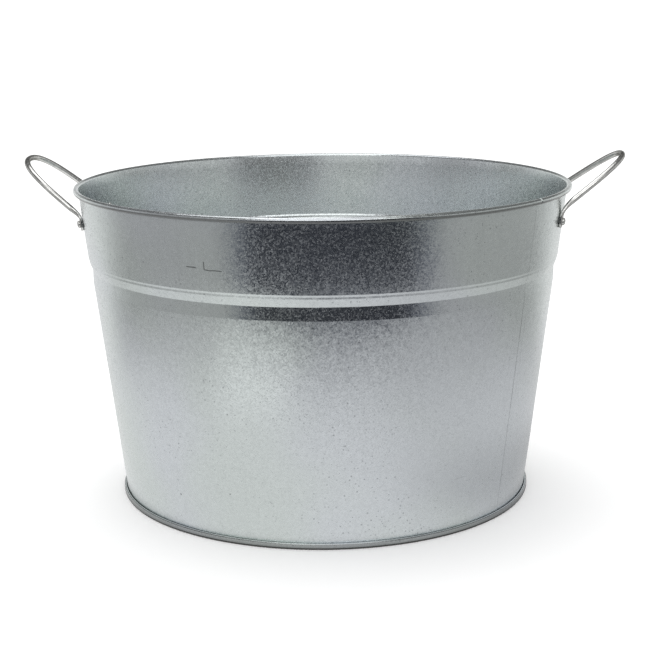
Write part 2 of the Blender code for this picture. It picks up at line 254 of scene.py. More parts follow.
# Colour of the painted shade under the rim and of the base seam's darkening
PAINTED_SHADE_AND_DARKENING_COLOUR = (0.05, 0.048, 0.045, 1.0)

# Faint tints that drift over the zinc
GREENISH = (0.995, 1.010, 0.985, 1.0)
BLUISH = (1.000, 0.992, 1.025, 1.0)

# Reflectance of the plating at a grazing angle
EDGE_TINT = (0.30, 0.30, 0.29, 1.0)

# The plating: tarnished spots, dull spots and fine drawing marks
TARNISH_NOISE = (240.0, 3.0)
TARNISH_TONES = (0.16, 0.06)
DULL_NOISE = (420.0, 2.0)
DULL_ROUGHNESS = (-0.04, 0.10)
PLATING_REACH = (0.3, 0.7)
DRAWING_NOISE = (900.0, 2.0)
DRAWING_BUMP = {"Strength": 0.15, "Distance": 0.05 * MM}

# The sealing compound
COMPOUND_NOISE = (300.0, 3.0)
COMPOUND_COLOURS = ((0.10, 0.11, 0.10, 1.0), (0.22, 0.23, 0.21, 1.0))
COMPOUND_BUMP = {"Strength": 0.3, "Distance": 0.1 * MM}
COMPOUND_ROUGHNESS = 0.7

# Tones of the metals
ZINC_TONE = (0.60, 0.635, 0.64)
WIRE_TONE = (0.74, 0.74, 0.72)
RIVET_TONE = (0.66, 0.66, 0.64)
RIM_WIRE_TONE = (0.36, 0.36, 0.37)

# The camera: its place from the tub's axis, and its lens and sensor in millimetres
CAMERA_TURN = radians(4.0)
CAMERA_DISTANCE = 1.2142
CAMERA_SIDE = -0.0043
CAMERA_HEIGHT = 0.4095
CAMERA_PITCH = 0.2245
CAMERA_ROLL = -0.01026
CAMERA_YAW = 0.00425
CAMERA_LENS = 83.24
SENSOR_WIDTH = 36.0

WHITE = (1.0, 1.0, 1.0, 1.0)

# The stage: the floor, and the card that the metal mirrors in its place
FLOOR_REACH = 40.0
FLOOR_COLOUR = (0.93, 0.93, 0.93, 1.0)
FLOOR_GLOW = 0.12
CARD_REACH = 6.0
CARD_DROP = 0.2 * MM
CARD_SHADE_TINT = (0.88, 0.95, 1.16, 1.0)

# Brightness of the card in front and at the sides, by distance from the tub's axis
FRONT_STOPS = (
    (0.0, 0.92), (0.30, 0.91), (0.40, 0.84), (0.47, 0.67), (0.54, 0.27), (0.62, 0.05), (1.0, 0.035),
)
SIDE_STOPS = (
    (0.0, 0.92), (0.34, 0.91), (0.42, 0.84), (0.50, 0.66), (0.60, 0.46), (0.8, 0.43), (1.0, 0.5),
)
BACK_LEVEL = 0.92

# The card's dark front narrows towards the tub. The card is dimmer at the right, in parts given as
# (right from, right to), (fade from, fade to) and amount. It's shaded under the tub and glows at the left.
NARROWING = (0.47, 0.64)
MOST_NARROW = radians(30)
DIM_PARTS = (
    ((0.0, 0.26), (0.4, 0.7), 0.17),
    ((0.06, 0.20), (0.20, 0.32), 0.22),
)
CONTACT = (0.168, 0.180)
CONTACT_LEVEL = 0.55
GLOW_REACH = (0.34, 0.60)
GLOW_FADE = 0.07
GLOW_LEVEL = 0.28

# Headings in the studio, from the camera's side towards its right, and where each part fades
CARD_DARK_HEADING = radians(4.0)
CARD_DARK_EDGE = (radians(30), radians(50))
CARD_BACK_EDGE = (radians(98), radians(132))
CARD_GLOW_HEADING = radians(-29.0)
CARD_GLOW_EDGE = (radians(7), radians(22))
WALL_DARK_HEADING = radians(24.0)
WALL_DARK_EDGE = (radians(14), radians(28))
WALL_DIM_HEADING = radians(-70.0)
WALL_DIM_EDGE = (radians(5), radians(20))
BACKDROP_EDGE = (radians(105), radians(140))

# Brightness of what the metal mirrors above the floor
WALL_LEVEL = 0.80
DARK_WALL_LEVEL = 0.28
DIM_WALL_SHARE = 0.70
WALL_FOOT = (0.04, 0.15)
WALL_FOOT_SHARE = 0.25
BACKDROP_LEVEL = 0.95
CEILING_EDGE = (0.22, 0.42)
CEILING_DROP_BEHIND = 0.10
CEILING_LEVEL = 0.18
SECOND_BOUNCE_LEVEL = 0.92
THIRD_BOUNCE_DROP = 0.42

# The softbox: its tilt, the edges over which it fades, as slopes from its middle, and its brightness
SOFTBOX_TILT = radians(60)
SOFTBOX_LEFT = (-0.45, -0.33)
SOFTBOX_RIGHT = (0.34, 0.46)
SOFTBOX_BOTTOM = (-0.85, -0.62)
SOFTBOX_TOP = (0.80, 1.0)
SOFTBOX_LEFT_FLARE = 0.35
SOFTBOX_RIGHT_FLARE = 0.55
SOFTBOX_FOOT = (-0.42, -0.10)
SOFTBOX_FOOT_LEVEL = 1.9

# The white world that lights the floor, behind and in front of the tub
WORLD_BEHIND = 1.6
WORLD_IN_FRONT = 0.75

# The lamp overhead
LAMP_SIZE = (1.4, 1.0)
LAMP_ENERGY = 6.0
LAMP_PLACE = Vector((-0.3, 0.2, 1.6))
LAMP_AIM = Vector((0.0, 0.0, 0.1))


# Outlines in the (radius, height) plane

def roll_centre():
    """Radius and height of the middle of the rolled rim."""
    return RIM_RADIUS - ROLL_RADIUS, RIM_TOP - ROLL_RADIUS


def band_direction():
    """Angle of the upper band in the (radius, height) plane."""
    centre_radius, centre_height = roll_centre()
    across = centre_radius - (BAND_RADIUS - SHEET / 2)
    up = centre_height - BAND_BOTTOM
    return atan2(up, across) + asin((ROLL_RADIUS - SHEET / 2) / hypot(across, up))


def band_slope():
    """Outward run of the upper band for each unit of its height."""
    return 1 / tan(band_direction())


def band_radius(height):
    """Radius of the upper band's outer face at a height."""
    return BAND_RADIUS + (height - BAND_BOTTOM) * band_slope()


def body_radius(height):
    """Radius of the tapered body's outer face at a height."""
    rise = (height - FOOT_TOP) / (NECK_BOTTOM - FOOT_TOP)
    return FOOT_RADIUS + (NECK_RADIUS - FOOT_RADIUS) * rise


def fillet(before, corner, after, radius, steps=5):
    """Points of an arc that rounds a corner of an outline."""
    corner = Vector(corner)
    to_before = (Vector(before) - corner).normalized()
    to_after = (Vector(after) - corner).normalized()
    half = to_before.angle(to_after) / 2
    reach = radius / tan(half)
    middle = corner + (to_before + to_after).normalized() * radius / sin(half)
    start = corner + to_before * reach - middle
    end = corner + to_after * reach - middle
    turn = start.angle(end)
    points = []
    for step in range(steps + 1):
        share = step / steps
        mixed = start * sin((1 - share) * turn) + end * sin(share * turn)
        points.append(tuple(middle + mixed / sin(turn)))
    return points


def rounded(corners):
    """An outline whose corners, given as (radius, height, fillet), are rounded."""
    places = [corner[:2] for corner in corners]
    points = [places[0]]
    for index in range(1, len(corners) - 1):
        size = corners[index][2]
        if size:
            points += fillet(places[index - 1], places[index], places[index + 1], size)
        else:
            points.append(places[index])
    return points + [places[-1]]


def filled(outline, spacing):
    """The outline with extra points on its long straight runs."""
    points = [outline[0]]
    for a, b in zip(outline, outline[1:]):
        parts = max(1, round(hypot(b[0] - a[0], b[1] - a[1]) / spacing))
        for part in range(1, parts + 1):
            share = part / parts
            points.append((a[0] + (b[0] - a[0]) * share, a[1] + (b[1] - a[1]) * share))
    return points


def roll_points():
    """The middle of the sheet round the rolled rim."""
    centre_radius, centre_height = roll_centre()
    radius = ROLL_RADIUS - SHEET / 2
    start = band_direction() + pi / 2
    turn = ROLL_END_ANGLE - start
    angles = [start + turn * step / ROLL_STEPS for step in range(ROLL_STEPS + 1)]
    return [(centre_radius + radius * cos(a), centre_height + radius * sin(a)) for a in angles]


def wall_outline():
    """The middle of the wall sheet, from the tip of its bottom hook up to the end of the rim roll."""
    half = SHEET / 2
    hook_radius = FOOT_RADIUS + 2 * LAYER - half
    hook_bottom = LAYER + half
    corners = [
        (hook_radius, SEAM_TOP - LAYER, 0),
        (hook_radius, hook_bottom, HEM_FILLET),
        (FOOT_RADIUS - half, hook_bottom, HEM_FILLET),
        (FOOT_RADIUS - half, FOOT_TOP, FOOT_FILLET),
        (body_radius(LOCK_BOTTOM) - half, LOCK_BOTTOM, 0),
        (NECK_RADIUS - half, NECK_BOTTOM, NECK_FILLET),
        (NECK_RADIUS - half, NECK_TOP, BEVEL_FILLET),
        (LAND_RADIUS - LAND_LEAN - half, LAND_BOTTOM, STEP_FILLET),
        (LAND_RADIUS + LAND_LEAN - half, LAND_TOP, STEP_FILLET),
        (BAND_RADIUS - half, BAND_BOTTOM, STEP_FILLET),
        (band_radius(LOCK_TOP) - half, LOCK_TOP, 0),
    ]
    roll = roll_points()
    return filled(rounded(corners + [(*roll[0], 0)]), ROW_HEIGHT) + roll[1:]


def pan_outline():
    """The middle of the pan's sheet, from its centre out to the end of the hook in the double seam."""
    half = SHEET / 2
    inner = FOOT_RADIUS - SHEET - GAP - half
    outer = FOOT_RADIUS + 3 * LAYER - half
    hook = FOOT_RADIUS + LAYER - half
    top = SEAM_TOP - half
    return filled(rounded([
        (0.0, PANEL_TOP - half, 0),
        (inner, PANEL_TOP - half, PANEL_FILLET),
        (inner, half, FOLD_FILLET),
        (outer, half, RING_FILLET),
        (outer, top, FOLD_FILLET),
        (hook, top, FOLD_FILLET),
        (hook, SEAM_TOP - HOOK_DEPTH, 0),
    ]), ROW_HEIGHT)


# Meshes

def outward(outline):
    """Outward direction at each point of an outline that runs up the wall, longer at its corners."""
    steps = [Vector(b) - Vector(a) for a, b in zip(outline, outline[1:])]
    normals = [Vector((step.y, -step.x)).normalized() for step in steps]
    before = [normals[0]] + normals
    after = normals + [normals[-1]]
    middles = [(a + b).normalized() for a, b in zip(before, after)]
    return [middle / middle.dot(a) for middle, a in zip(middles, before)]


def sheet_wave(angle, height):
    """Small radial waves of a rolled sheet, none at the rim, the bead and the foot."""
    place = Vector((cos(angle), sin(angle), height * WAVE_STRETCH))
    wave = sum(noise.noise(place * scale) * size for scale, size in WAVES)
    for fixed, reach in STILL_HEIGHTS:
        wave *= min(1.0, abs(height - fixed) / reach)
    return wave


def outer_hook():
    """The sheet's start, which lies outside: a hook folded back under the wall, then the flush wall."""
    depth = -2 * LAYER
    return [(LOCK_HOOK_END, depth), (-LOCK_HALF_WIDTH, depth), (-LOCK_HALF_WIDTH, 0.0)]


def inner_hook():
    """The sheet's end, which lies inside: a step down from the wall, then a hook that opens outward."""
    depth = -3 * LAYER
    step = -LOCK_HALF_WIDTH - SHEET - HAIRLINE
    down = [(step, 0.0), (step, depth)]
    return down + [(LOCK_HALF_WIDTH, depth), (LOCK_HALF_WIDTH, -LAYER), (-LOCK_HOOK_END, -LAYER)]


def sheet_columns():
    """Columns (anchor angle, along, depth) of the body sheet, and the range of them that is plain wall."""
    end = SIDE_SEAM_ANGLE + 2 * pi
    first = [(SIDE_SEAM_ANGLE, along + LOCK_SHIFT, depth) for along, depth in outer_hook()]
    steps = round(2 * pi / COLUMN_STEP)
    middle = [(SIDE_SEAM_ANGLE + COLUMN_STEP * step, 0.0, 0.0) for step in range(-1, steps - 2)]
    last = [(end, along + LOCK_SHIFT, depth) for along, depth in inner_hook()]
    return first + middle + last, range(len(first) - 1, len(first) + len(middle))


def mitred(points):
    """Offset direction at each point of an open polyline, to its left, longer at its corners."""
    steps = [(Vector(b) - Vector(a)).normalized() for a, b in zip(points, points[1:])]
    normals = [Vector((-step.y, step.x)) for step in steps]
    before = [normals[0]] + normals
    after = normals + [normals[-1]]
    middles = [(a + b).normalized() for a, b in zip(before, after)]
    return [middle / max(MITRE_LIMIT, middle.dot(a)) for middle, a in zip(middles, before)]


def column_offsets(columns):
    """Offset of the outer face, in the (along, depth) plane, at each column."""
    return mitred([(anchor * NECK_RADIUS + along, depth) for anchor, along, depth in columns])


def wall_point(outline_point, normal, column, offset, side):
    """A point of the wall's outer face (side 1) or inner face (side -1)."""
    anchor, along, depth = column
    along += offset.x * side * SHEET / 2
    depth += offset.y * side * SHEET / 2
    angle = anchor + along / outline_point[0]
    radius = outline_point[0] + normal.x * depth + sheet_wave(angle, outline_point[1])
    height = outline_point[1] + normal.y * depth
    return Vector((radius * cos(angle), radius * sin(angle), height))


def body_sheet(name):
    """The body sheet with its thickness, notched above and below its two folded ends."""
    outline = wall_outline()
    normals = outward(outline)
    columns, plain = sheet_columns()
    offsets = column_offsets(columns)
    bm = bmesh.new()
    grid = {}
    used = {}

    def vertex(row, column, side):
        if (row, column, side) not in grid:
            place = wall_point(outline[row], normals[row], columns[column], offsets[column], side)
            grid[row, column, side] = bm.verts.new(place)
        return grid[row, column, side]

    for row in range(len(outline) - 1):
        low, high = sorted((outline[row][1], outline[row + 1][1]))
        locked = low > LOCK_BOTTOM - GAP and high < LOCK_TOP + GAP
        for column in range(len(columns) - 1):
            if locked or column in plain:
                corners = [(row, column), (row, column + 1), (row + 1, column + 1), (row + 1, column)]
                bm.faces.new([vertex(*corner, 1) for corner in corners])
                bm.faces.new([vertex(*corner, -1) for corner in reversed(corners)])
                for pair in zip(corners, corners[1:] + corners[:1]):
                    used[pair] = True
    for a, b in used:
        if (b, a) not in used:
            bm.faces.new([vertex(*b, 1), vertex(*a, 1), vertex(*a, -1), vertex(*b, -1)])
    return new_piece(name, bm, SHARP_ANGLE)


def turned(name, outline, segments):
    """An outline in the (radius, height) plane spun round the Z axis."""
    bm = bmesh.new()
    points = [bm.verts.new((radius, 0.0, height)) for radius, height in outline]
    edges = [bm.edges.new(pair) for pair in zip(points, points[1:])]
    bmesh.ops.spin(
        bm,
        geom=points + edges,
        axis=(0.0, 0.0, 1.0),
        cent=(0.0, 0.0, 0.0),
        steps=segments,
        angle=2 * pi,
        use_merge=True,
    )
    bmesh.ops.remove_doubles(bm, verts=bm.verts, dist=MERGE_DISTANCE)
    bmesh.ops.recalc_face_normals(bm, faces=bm.faces)
    return new_piece(name, bm, SHARP_ANGLE)


def new_piece(name, bm, sharp):
    """An object from a bmesh, shaded smooth but for edges sharper than an angle."""
    mesh = bpy.data.meshes.new(name)
    bm.to_mesh(mesh)
    bm.free()
    mesh.shade_smooth()
    mesh.set_sharp_from_angle(angle=sharp)
    piece = bpy.data.objects.new(name, mesh)
    bpy.context.scene.collection.objects.link(piece)
    return piece


def add_thickness(piece):
    """Give a middle surface the sheet's thickness, half to each side."""
    solidify = piece.modifiers.new("thickness", "SOLIDIFY")
    solidify.thickness = SHEET
    solidify.offset = 0.0
    solidify.use_quality_normals = True


# Handles

def bezier(a, b, c, d, t):
    """Point on a cubic curve."""
    s = 1 - t
    return a * s**3 + b * (3 * s * s * t) + c * (3 * s * t * t) + d * t**3


def tab_point(height):
    """Middle of a handle's tab where it lies on the wall, on the +Y side of +X."""
    radius = band_radius(height) * cos(FACET / 2) + GAP + TAB_HALF_THICKNESS
    return Vector((radius * cos(FOOT_ANGLE), radius * sin(FOOT_ANGLE), height))


def wall_up():
    """Direction up the wall under the tab."""
    slope = band_slope()
    return Vector((slope * cos(FOOT_ANGLE), slope * sin(FOOT_ANGLE), 1.0)).normalized()


def wall_out():
    """Direction out of the wall under the tab."""
    return Vector((cos(FOOT_ANGLE), sin(FOOT_ANGLE), -band_slope())).normalized()


def loop_point(handle, t):
    """A point of the loop's middle line, on the +Y side: t is 0 at the bend and 1 at the tip."""
    shoulder = Vector(handle["shoulder"])
    tip_corner = Vector((handle["length"], handle["tip_half_width"]))
    bend = Vector((0.0, LOOP_HALF_WIDTH))
    run, across = bezier(bend, shoulder, tip_corner, Vector((handle["length"], 0.0)), t)
    slant = handle["slant"]
    return Vector((
        handle["bend_radius"] + run * cos(slant),
        across,
        handle["bend_height"] + run * sin(slant),
    ))


def loop_out(handle):
    """Direction square to the loop's plane, on its underside."""
    return Vector((sin(handle["slant"]), 0.0, -cos(handle["slant"])))


def tab_stations(handle):
    """Stations of the flat tab: middle, out direction, half width, half thickness, flatness."""
    start = tab_point(handle["tab_end"])
    stations = []
    for step in range(TAB_END_STEPS + 1):
        run = TAB_HALF_WIDTH * (1 - cos(max(step, TAB_TIP_STEP) / TAB_END_STEPS * pi / 2))
        width = (TAB_HALF_WIDTH**2 - (TAB_HALF_WIDTH - run) ** 2) ** 0.5
        growth = sin(min(1.0, step / TAB_EDGE_STEPS) * pi / 2)
        edge = TAB_HALF_THICKNESS * (TAB_EDGE_SHARE + (1 - TAB_EDGE_SHARE) * growth)
        stations.append((start + wall_up() * run, wall_out(), width, edge, 1.0))
    for share in TAB_FLAT_SHARES:
        place = start + wall_up() * TAB_LENGTH * share
        stations.append((place, wall_out(), TAB_HALF_WIDTH, TAB_HALF_THICKNESS, 1.0))
    return stations


def smooth(t):
    """Ease in and out from 0 to 1."""
    return t * t * (3 - 2 * t)


def bend_stations(handle):
    """Stations of the bend from the tab to the loop, where the section turns from flat to round."""
    start = tab_point(handle["tab_end"]) + wall_up() * TAB_LENGTH
    corner = loop_point(handle, 0.0)
    end = loop_point(handle, BEND_END)
    rise = wall_up() * (corner - start).length / 2
    stations = []
    for step in range(1, BEND_STEPS + 1):
        t = step / BEND_STEPS
        place = bezier(start, start + rise, corner, end, t)
        out = wall_out().lerp(loop_out(handle), t).normalized()
        share = smooth(t)
        width = TAB_HALF_WIDTH + (WIRE_RADIUS - TAB_HALF_WIDTH) * share
        thickness = TAB_HALF_THICKNESS + (WIRE_RADIUS - TAB_HALF_THICKNESS) * share
        stations.append((place, out, width, thickness, 1 - share))
    return stations


def loop_stations(handle):
    """Stations of the round wire, from the bend to the middle of the tip."""
    stations = []
    for step in range(1, LOOP_STEPS + 1):
        t = BEND_END + (1 - BEND_END) * step / LOOP_STEPS
        stations.append((loop_point(handle, t), loop_out(handle), WIRE_RADIUS, WIRE_RADIUS, 0.0))
    return stations


def mirrored(station):
    """The same station on the other side of the XZ plane."""
    place, out, width, thickness, flatness = station
    flip = Vector((1.0, -1.0, 1.0))
    return place * flip, out * flip, width, thickness, flatness


def section_points(station, along):
    """Points round the wire at a station: an ellipse, or a flat shape with round corners."""
    place, out, width, thickness, flatness = station
    side = along.cross(out).normalized()
    out = side.cross(along).normalized()
    power = 1.0 - TAB_SQUARENESS * flatness
    points = []
    for index in range(WIRE_SIDES):
        angle = 2 * pi * (index + 0.5) / WIRE_SIDES
        across = width * abs(cos(angle)) ** power * (1 if cos(angle) > 0 else -1)
        through = thickness * abs(sin(angle)) ** power * (1 if sin(angle) > 0 else -1)
        points.append(place + side * across + out * through)
    return points


def handle_piece(name, handle):
    """A wire bent to a loop, with both ends flattened to tabs."""
    half = tab_stations(handle) + bend_stations(handle) + loop_stations(handle)
    stations = half + [mirrored(station) for station in reversed(half[:-1])]
    places = [station[0] for station in stations]
    bm = bmesh.new()
    rings = []
    for index, station in enumerate(stations):
        before = places[max(index - 1, 0)]
        after = places[min(index + 1, len(places) - 1)]
        ring = section_points(station, (after - before).normalized())
        rings.append([bm.verts.new(point) for point in ring])
    for ring, following in zip(rings, rings[1:]):
        for index in range(WIRE_SIDES):
            beside = (index + 1) % WIRE_SIDES
            bm.faces.new([ring[index], ring[beside], following[beside], following[index]])
    bm.faces.new(list(reversed(rings[0])))
    bm.faces.new(rings[-1])
    bmesh.ops.recalc_face_normals(bm, faces=bm.faces)
    bm.transform(Matrix.Rotation(handle["facing"], 4, "Z"))
    return new_piece(name, bm, WIRE_SHARP_ANGLE)


# Rivets

def rivet_outline():
    """Half section of a rivet along its axis, from its set tail inside the wall to its domed head."""
    tab_face = GAP + 2 * TAB_HALF_THICKNESS + RIVET_HEAD_GAP
    tail_face = -SHEET - GAP / 2
    corners = [
        (0.0, tail_face - RIVET_TAIL_HEIGHT, 0),
        (RIVET_TAIL_RADIUS, tail_face - RIVET_TAIL_HEIGHT, 3 * RIVET_EDGE),
        (RIVET_TAIL_RADIUS, tail_face, RIVET_EDGE),
        (RIVET_SHANK_RADIUS, tail_face, 0),
        (RIVET_SHANK_RADIUS, tab_face, 0),
        (RIVET_HEAD_RADIUS, tab_face, RIVET_EDGE / 2),
        (RIVET_HEAD_RADIUS, tab_face + RIVET_SIDE_SHARE * RIVET_HEAD_HEIGHT, 0),
    ]
    dome = []
    for step in range(1, DOME_STEPS + 1):
        angle = step / DOME_STEPS * pi / 2
        rise = RIVET_SIDE_SHARE + (1 - RIVET_SIDE_SHARE) * sin(angle)
        dome.append((RIVET_HEAD_RADIUS * cos(angle), tab_face + RIVET_HEAD_HEIGHT * rise))
    dome[-1] = (0.0, dome[-1][1])
    return rounded(corners) + dome


def rivet_pieces():
    """The four rivets, each square to the wall under its tab."""
    for side, handle in HANDLES.items():
        for turn in (-FOOT_ANGLE, FOOT_ANGLE):
            angle = handle["facing"] + turn
            end = "back" if sin(angle) > 0 else "front"
            radius = band_radius(handle["rivet"]) * cos(FACET / 2)
            place = Vector((radius * cos(angle), radius * sin(angle), handle["rivet"]))
            out = Vector((cos(angle), sin(angle), -band_slope()))
            piece = turned(f"rivet_{side}_{end}_fine", rivet_outline(), RIVET_SEGMENTS)
            turn_out = out.to_track_quat("Z", "Y").to_matrix().to_4x4()
            piece.data.transform(Matrix.Translation(place) @ turn_out)
            yield f"rivet_{side}_{end}", piece


# Materials

class Graph:
    """Short calls that add nodes to a material or a world and link them."""

    def __init__(self, owner):
        owner.use_nodes = True
        self.tree = owner.node_tree
        self.tree.nodes.clear()

    def node(self, kind, inputs=None, **settings):
        """Add a node, set its properties, and set or link its inputs."""
        made = self.tree.nodes.new("ShaderNode" + kind)
        for name, value in settings.items():
            setattr(made, name, value)
        for key, value in (inputs or {}).items():
            self.feed(made.inputs[key], value)
        return made

    def feed(self, socket, value):
        """Link a socket to another, or set its value."""
        if isinstance(value, bpy.types.NodeSocket):
            self.tree.links.new(value, socket)
        else:
            socket.default_value = value

    def surface(self, kind, inputs):
        """Add a shader and make it the material's surface."""
        shader = self.node(kind, inputs)
        output = self.node("OutputMaterial")
        self.feed(output.inputs["Surface"], shader.outputs[0])

    def math(self, operation, *values):
        """A math node's result."""
        return self.node("Math", dict(enumerate(values)), operation=operation).outputs[0]

    def product(self, *values):
        """The product of values."""
        total = values[0]
        for value in values[1:]:
            total = self.math("MULTIPLY", total, value)
        return total

    def strongest(self, *values):
        """The largest of values."""
        most = values[0]
        for value in values[1:]:
            most = self.math("MAXIMUM", most, value)
        return most

    def vector(self, operation, *values):
        """A vector math node's vector result."""
        made = self.node("VectorMath", operation=operation)
        for index, value in enumerate(values):
            key = "Scale" if operation == "SCALE" and index == 1 else index
            self.feed(made.inputs[key], value)
        return made.outputs[0]

    def length(self, vector):
        """A vector's length."""
        return self.node("VectorMath", {0: vector}, operation="LENGTH").outputs["Value"]

    def axes(self, vector):
        """The X, Y and Z of a vector."""
        return self.node("SeparateXYZ", {0: vector}).outputs

    def channels(self, colour):
        """The red, green and blue of a colour."""
        return self.node("SeparateColor", {"Color": colour}).outputs

    def range(self, value, low, high, to_low=0.0, to_high=1.0, smooth=True):
        """Map a value from one range to another, held at its ends."""
        inputs = {"Value": value, "From Min": low, "From Max": high, "To Min": to_low, "To Max": to_high}
        kind = "SMOOTHSTEP" if smooth else "LINEAR"
        return self.node("MapRange", inputs, interpolation_type=kind).outputs["Result"]

    def mix(self, share, a, b, blend_type="MIX"):
        """Mix two colours."""
        inputs = {0: share, 6: a, 7: b}
        return self.node("Mix", inputs, data_type="RGBA", blend_type=blend_type).outputs[2]

    def noise(self, vector, scale, detail):
        """A noise texture's value."""
        inputs = {"Vector": vector, "Scale": scale, "Detail": detail}
        return self.node("TexNoise", inputs).outputs["Fac"]

    def voronoi(self, vector, scale):
        """A Voronoi texture node."""
        return self.node("TexVoronoi", {"Vector": vector, "Scale": scale})


def new_material(name):
    """An empty material, its graph, and the place on the surface in the part's frame."""
    material = bpy.data.materials.new(name)
    graph = Graph(material)
    return material, graph, graph.node("TexCoord").outputs["Object"]


def tones(tone, below, above):
    """A darker and a lighter version of a tone."""
    return [tuple(channel * share for channel in tone) + (1.0,) for share in (1 - below, 1 + above)]


def blend(graph, start, *layers):
    """A value with scaled layers, centred on 0.5, added to it."""
    total = start
    for layer, amount in layers:
        total = graph.math("ADD", total, swing(graph, layer, amount))
    return total


def swing(graph, layer, amount):
    """A layer that is centred on 0.5 made to swing round 0 by an amount."""
    return graph.product(graph.math("SUBTRACT", layer, 0.5), amount)


def specks(graph, place, scale, share, size):
    """Small round spots, 1 inside: share of the cells that have one, and its size in cells."""
    cell = graph.voronoi(place, scale)
    chance = graph.channels(cell.outputs["Color"])[2]
    spot = graph.range(cell.outputs["Distance"], size * SPECK_CORE, size, 1.0, 0.0)
    return graph.product(spot, graph.math("LESS_THAN", chance, share))


def line_mark(graph, value, centre, width):
    """1 on a thin line where a value is near a centre, fading over its width."""
    off = graph.math("ABSOLUTE", graph.math("SUBTRACT", value, centre))
    return graph.range(off, width * LINE_CORE, width, 1.0, 0.0)


def span(graph, value, low, high, soft):
    """1 where a value lies between two limits, fading inside them."""
    rising = graph.range(value, low, low + soft)
    return graph.product(rising, graph.range(value, high - soft, high, 1.0, 0.0))


def ring_line(graph, place, angle, height):
    """A faint broken line round the wall, near the foot."""
    wobble = swing(graph, graph.noise(place, *RING_WOBBLE_NOISE), RING_LINE_WOBBLE)
    ring = line_mark(graph, graph.math("ADD", height, wobble), RING_LINE_HEIGHT, RING_LINE_WIDTH)
    reach = span(graph, angle, *RING_LINE_ANGLES, RING_LINE_FADE)
    broken = graph.range(graph.noise(place, *RING_BREAK_NOISE), *RING_BREAK_REACH)
    return graph.product(ring, reach, broken, RING_LINE_STRENGTH)


def speck_trails(graph, place, angle, height):
    """Trails of dark specks up the wall."""
    dots = specks(graph, place, *SPECKS)
    trails = []
    for trail_angle, low, high in SPECK_TRAILS:
        near = line_mark(graph, angle, trail_angle, SPECK_TRAIL_WIDTH)
        reach = span(graph, height, low, high, SPECK_TRAIL_FADE)
        trails.append(graph.product(near, reach, dots, SPECK_STRENGTH))
    return graph.strongest(*trails)


def seam_lines(graph, place, angle, height):
    """The hairline of the side seam, and a fainter line beside it."""
    lines = []
    for line_angle, width, low, high, fade, strength in SEAM_LINES:
        line = line_mark(graph, angle, line_angle, width)
        lines.append(graph.product(line, span(graph, height, low, high, fade), strength))
    uneven = graph.range(graph.noise(place, *SEAM_LINE_NOISE), *SEAM_LINE_REACH)
    return graph.product(graph.strongest(*lines), uneven)


def scratches(graph, place, angle, height):
    """A ragged scratch along the upper band, in two strokes with an upright tick."""
    ragged = graph.math("ADD", height, swing(graph, graph.noise(place, *SCRATCH_NOISE), SCRATCH_WOBBLE))
    tick = line_mark(graph, angle, TICK_ANGLE, TICK_WIDTH)
    strokes = [graph.product(tick, span(graph, height, *TICK_HEIGHTS, TICK_FADE))]
    for low, high, stroke_height in SCRATCHES:
        stroke = line_mark(graph, ragged, stroke_height, SCRATCH_WIDTH)
        strokes.append(graph.product(stroke, span(graph, angle, low, high, SCRATCH_FADE)))
    return graph.product(graph.strongest(*strokes), SCRATCH_STRENGTH)


def wear_marks(graph, place):
    """How dark the marks of use are, from 0, where there are none."""
    x, y, height = graph.axes(place)
    angle = graph.math("ARCTAN2", y, x)
    radius = graph.length(graph.vector("MULTIPLY", place, (1.0, 1.0, 0.0)))
    kinds = (ring_line, speck_trails, seam_lines, scratches)
    marks = graph.strongest(*[kind(graph, place, angle, height) for kind in kinds])
    cone = graph.math("ADD", MARKED_FOOT_RADIUS, graph.product(height, MARKED_SLOPE))
    return graph.product(marks, graph.math("GREATER_THAN", radius, cone))


def painted_rim_shade_and_seam_darkening(graph, place, normal):
    """How dark the painted shade under the rolled rim and its crease is, and the darkening of the base
    seam, darker towards the bottom.
    """
    height = graph.axes(place)[2]
    # Painted shade on surfaces that face down, high at the rim; the seam and the ring below it are
    # darkened towards the floor
    under = graph.range(graph.axes(normal)[2], *UNDERSIDE, 1.0, 0.0)
    at_rim = graph.range(height, *ROLL_PAINTED_SHADE_HEIGHTS)
    on_seam = graph.range(height, *SEAM_DARKENING_HEIGHTS, SEAM_DARKENING, 0.0)
    on_ring = graph.range(height, *RING_DARKENING_HEIGHTS, RING_DARKENING, 0.0)
    return graph.strongest(graph.product(under, at_rim), on_seam, on_ring)


def pits(graph, place):
    """Small dark pits in two sizes, in loose clusters."""
    spots = graph.strongest(*[specks(graph, place, *size) for size in PITS])
    clusters = graph.range(graph.noise(place, *PIT_CLUSTER_NOISE), *PIT_CLUSTER_REACH)
    return graph.product(spots, clusters, PIT_STRENGTH)


